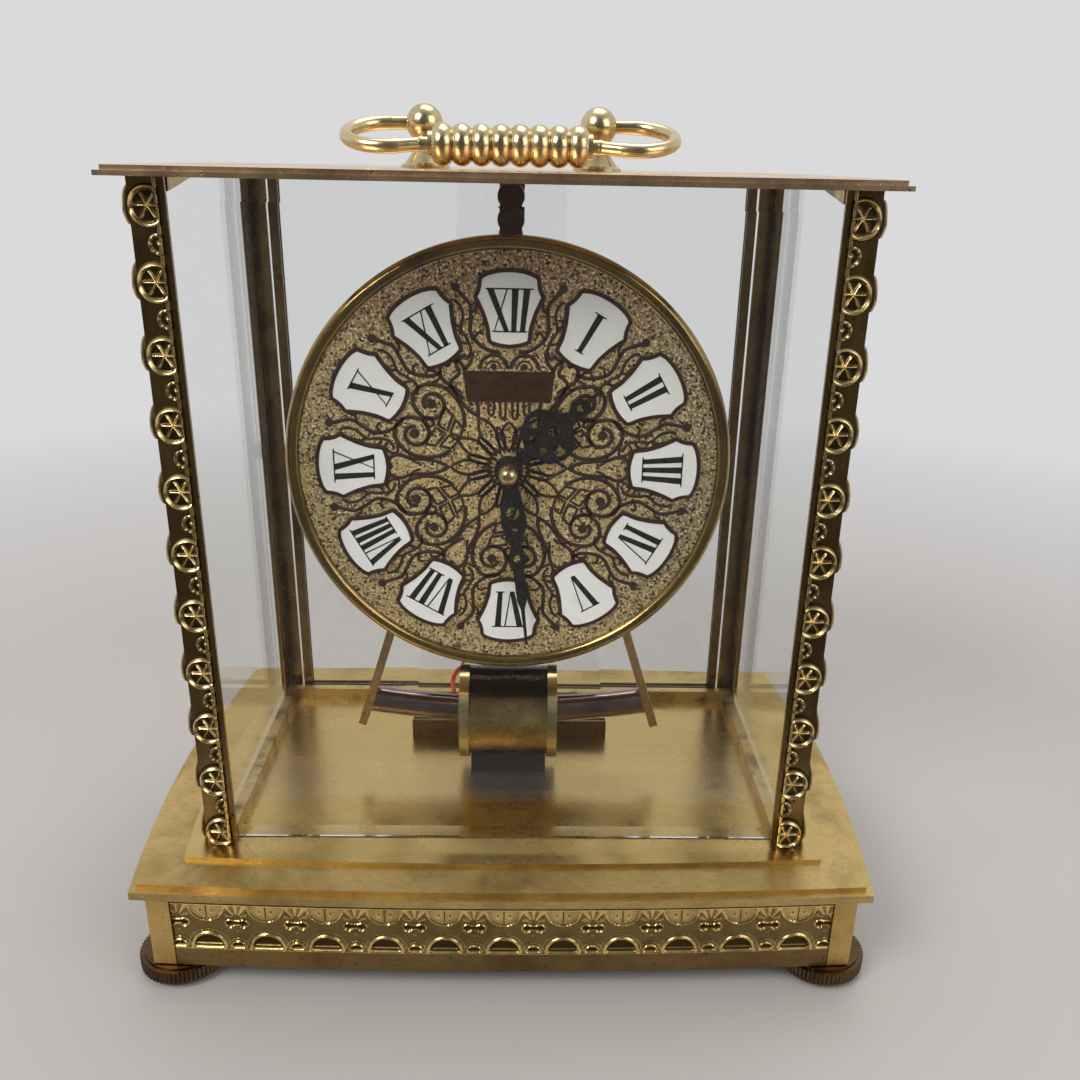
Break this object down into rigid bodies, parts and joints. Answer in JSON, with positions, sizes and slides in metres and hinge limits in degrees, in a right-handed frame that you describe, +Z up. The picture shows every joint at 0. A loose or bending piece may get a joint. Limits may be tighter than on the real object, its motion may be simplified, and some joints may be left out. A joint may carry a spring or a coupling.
{
  "type": "electromagnetic clock",
  "caption": "Glazed brass mantel clock with carrying handle, dial, and a pendulum whose bar magnet swings through a coil; rear door, levelling feet.",
  "frame": {"origin": "centre of the rectangle that the feet stand on, on the table surface", "axes": "+Z up, -Y towards the viewer out of the dial, +X to the viewer's right"},
  "size_m": [0.2298, 0.1522, 0.2507],
  "materials": {
    "aged_brass": "lightly tarnished, brushed",
    "gilt_brass": "satin gilt with fine speckles",
    "dial_gold": "granular gilt with engraved lines",
    "enamel": "glossy vitreous enamel",
    "black_lacquer": "gloss black",
    "dark_metal": "bronzed",
    "steel": "turned steel",
    "foot_brass": "worn, knurled",
    "clear_glass": "polished, bevelled",
    "clear_acrylic": "polished clear sheet",
    "movement_brass": "lacquered",
    "copper": "polished copper",
    "magnet_steel": "ground bar steel",
    "wound_wire": "enamelled copper wire",
    "red_insulation": "satin sleeve",
    "black_plastic": "moulded",
    "battery_jacket": "plain jacket"
  },
  "bodies": {
    "case": {"base_shell": "aged_brass", "base_bottom_plate": "dark_metal", "base_corner_posts": "gilt_brass", "base_gallery_strips": "gilt_brass", "base_lower_rails": "aged_brass", "base_lid": "gilt_brass", "cage_floor": "gilt_brass", "front_columns": "gilt_brass", "rear_columns": "aged_brass", "column_ornament": "aged_brass", "front_glass": "clear_glass", "side_glasses": "clear_glass", "glass_channels": "aged_brass", "roof": "gilt_brass", "handle_posts": "gilt_brass", "dial_bezel": "gilt_brass", "dial_face": "dial_gold", "numeral_plaques": "enamel", "movement_front_plate": "movement_brass", "movement_rear_plate": "movement_brass", "movement_pillars": "gilt_brass", "suspension_bracket": "black_lacquer", "coil_bobbin": "gilt_brass", "coil_winding": "wound_wire", "coil_cover": "aged_brass", "coil_saddle": "dark_metal", "carrier_plate": "clear_acrylic", "carrier_channel": "gilt_brass", "red_lead": "red_insulation", "battery_holder": "black_plastic", "battery": "battery_jacket"},
    "minute_arbor": {"minute_hand": "black_lacquer", "hand_nut": "gilt_brass", "setting_shaft": "steel", "setting_knob": "gilt_brass"},
    "hour_pipe": {"hour_hand": "black_lacquer", "hour_wheel": "movement_brass"},
    "minute_wheel": {"minute_wheel": "movement_brass"},
    "centre_wheel": {"centre_wheel": "movement_brass"},
    "third_wheel": {"third_wheel": "movement_brass"},
    "count_wheel": {"count_wheel": "movement_brass"},
    "pendulum": {"pendulum_hanger": "dark_metal", "suspension_spring": "steel", "pendulum_legs": "copper", "magnet_bar": "magnet_steel"},
    "crutch": {"crutch": "steel"},
    "driving_pawl": {"driving_pawl": "steel"},
    "handle": {"handle_bail": "aged_brass", "handle_grip": "gilt_brass"},
    "rear_door": {"door_frame": "aged_brass", "door_glass": "clear_glass", "door_knob": "gilt_brass"},
    "foot_stud_front_left": {"foot_stud_front_left": "steel"},
    "foot_disc_front_left": {"foot_disc_front_left": "foot_brass"},
    "foot_stud_front_right": {"foot_stud_front_right": "steel"},
    "foot_disc_front_right": {"foot_disc_front_right": "foot_brass"},
    "foot_stud_rear_left": {"foot_stud_rear_left": "steel"},
    "foot_disc_rear_left": {"foot_disc_rear_left": "foot_brass"},
    "foot_stud_rear_right": {"foot_stud_rear_right": "steel"},
    "foot_disc_rear_right": {"foot_disc_rear_right": "foot_brass"}
  },
  "joints": [
    {"name": "minute_hand_turn", "type": "hinge", "parent": "case", "child": "minute_arbor", "pos_m": [0, -0.02, 0.1525], "axis": [0, 1, 0], "continuous": true},
    {"name": "hour_hand_turn", "type": "hinge", "parent": "case", "child": "hour_pipe", "pos_m": [0, -0.024, 0.1525], "axis": [0, 1, 0], "continuous": true},
    {"name": "minute_wheel_turn", "type": "hinge", "parent": "case", "child": "minute_wheel", "pos_m": [-0.00735, -0.02, 0.15867], "axis": [0, 1, 0], "continuous": true},
    {"name": "count_wheel_turn", "type": "hinge", "parent": "case", "child": "count_wheel", "pos_m": [0, -0.012, 0.1738], "axis": [0, 1, 0], "continuous": true},
    {"name": "third_wheel_turn", "type": "hinge", "parent": "case", "child": "third_wheel", "pos_m": [-0.00908, -0.014, 0.16368], "axis": [0, 1, 0], "continuous": true},
    {"name": "centre_wheel_turn", "type": "hinge", "parent": "case", "child": "centre_wheel", "pos_m": [0, -0.0168, 0.1525], "axis": [0, 1, 0], "continuous": true},
    {"name": "pendulum_swing", "type": "hinge", "parent": "case", "child": "pendulum", "pos_m": [0, -0.003, 0.2205], "axis": [0, 1, 0], "range_deg": [-5, 5]},
    {"name": "crutch_swing", "type": "hinge", "parent": "case", "child": "crutch", "pos_m": [0, -0.0075, 0.1957], "axis": [0, 1, 0], "range_deg": [-5.4, 5.4]},
    {"name": "pawl_lift", "type": "hinge", "parent": "crutch", "child": "driving_pawl", "pos_m": [-0.0065, -0.0084, 0.1887], "axis": [0, -1, 0], "range_deg": [0, 10]},
    {"name": "handle_swing", "type": "hinge", "parent": "case", "child": "handle", "pos_m": [0, 0, 0.2455], "axis": [-1, 0, 0], "range_deg": [0, 212]},
    {"name": "rear_door_swing", "type": "hinge", "parent": "case", "child": "rear_door", "pos_m": [0.08, 0.05, 0.1351], "axis": [0, 0, -1], "range_deg": [0, 110]},
    {"name": "foot_front_left_travel", "type": "slide", "parent": "case", "child": "foot_stud_front_left", "axis": [0, 0, 1], "range_m": [-0.003, 0]},
    {"name": "foot_front_left_screw", "type": "hinge", "parent": "foot_stud_front_left", "child": "foot_disc_front_left", "pos_m": [-0.1005, -0.0595, 0.003], "axis": [0, 0, 1], "range_deg": [-1082, 0]},
    {"name": "foot_front_right_travel", "type": "slide", "parent": "case", "child": "foot_stud_front_right", "axis": [0, 0, 1], "range_m": [-0.003, 0]},
    {"name": "foot_front_right_screw", "type": "hinge", "parent": "foot_stud_front_right", "child": "foot_disc_front_right", "pos_m": [0.1005, -0.0595, 0.003], "axis": [0, 0, 1], "range_deg": [-1082, 0]},
    {"name": "foot_rear_left_travel", "type": "slide", "parent": "case", "child": "foot_stud_rear_left", "axis": [0, 0, 1], "range_m": [-0.003, 0]},
    {"name": "foot_rear_left_screw", "type": "hinge", "parent": "foot_stud_rear_left", "child": "foot_disc_rear_left", "pos_m": [-0.1005, 0.0595, 0.003], "axis": [0, 0, 1], "range_deg": [-1082, 0]},
    {"name": "foot_rear_right_travel", "type": "slide", "parent": "case", "child": "foot_stud_rear_right", "axis": [0, 0, 1], "range_m": [-0.003, 0]},
    {"name": "foot_rear_right_screw", "type": "hinge", "parent": "foot_stud_rear_right", "child": "foot_disc_rear_right", "pos_m": [0.1005, 0.0595, 0.003], "axis": [0, 0, 1], "range_deg": [-1082, 0]}
  ],
  "couplings": [
    {"joint": "hour_hand_turn", "follows": "minute_hand_turn", "ratio": 0.083333},
    {"joint": "minute_wheel_turn", "follows": "minute_hand_turn", "ratio": -0.33333},
    {"joint": "third_wheel_turn", "follows": "count_wheel_turn", "ratio": -0.13333},
    {"joint": "centre_wheel_turn", "follows": "count_wheel_turn", "ratio": 0.016667},
    {"joint": "crutch_swing", "follows": "pendulum_swing", "ratio": -1.0667},
    {"joint": "foot_front_left_screw", "follows": "foot_front_left_travel", "rad_per_m": 6283.2},
    {"joint": "foot_front_right_screw", "follows": "foot_front_right_travel", "rad_per_m": 6283.2},
    {"joint": "foot_rear_left_screw", "follows": "foot_rear_left_travel", "rad_per_m": 6283.2},
    {"joint": "foot_rear_right_screw", "follows": "foot_rear_right_travel", "rad_per_m": 6283.2}
  ]
}
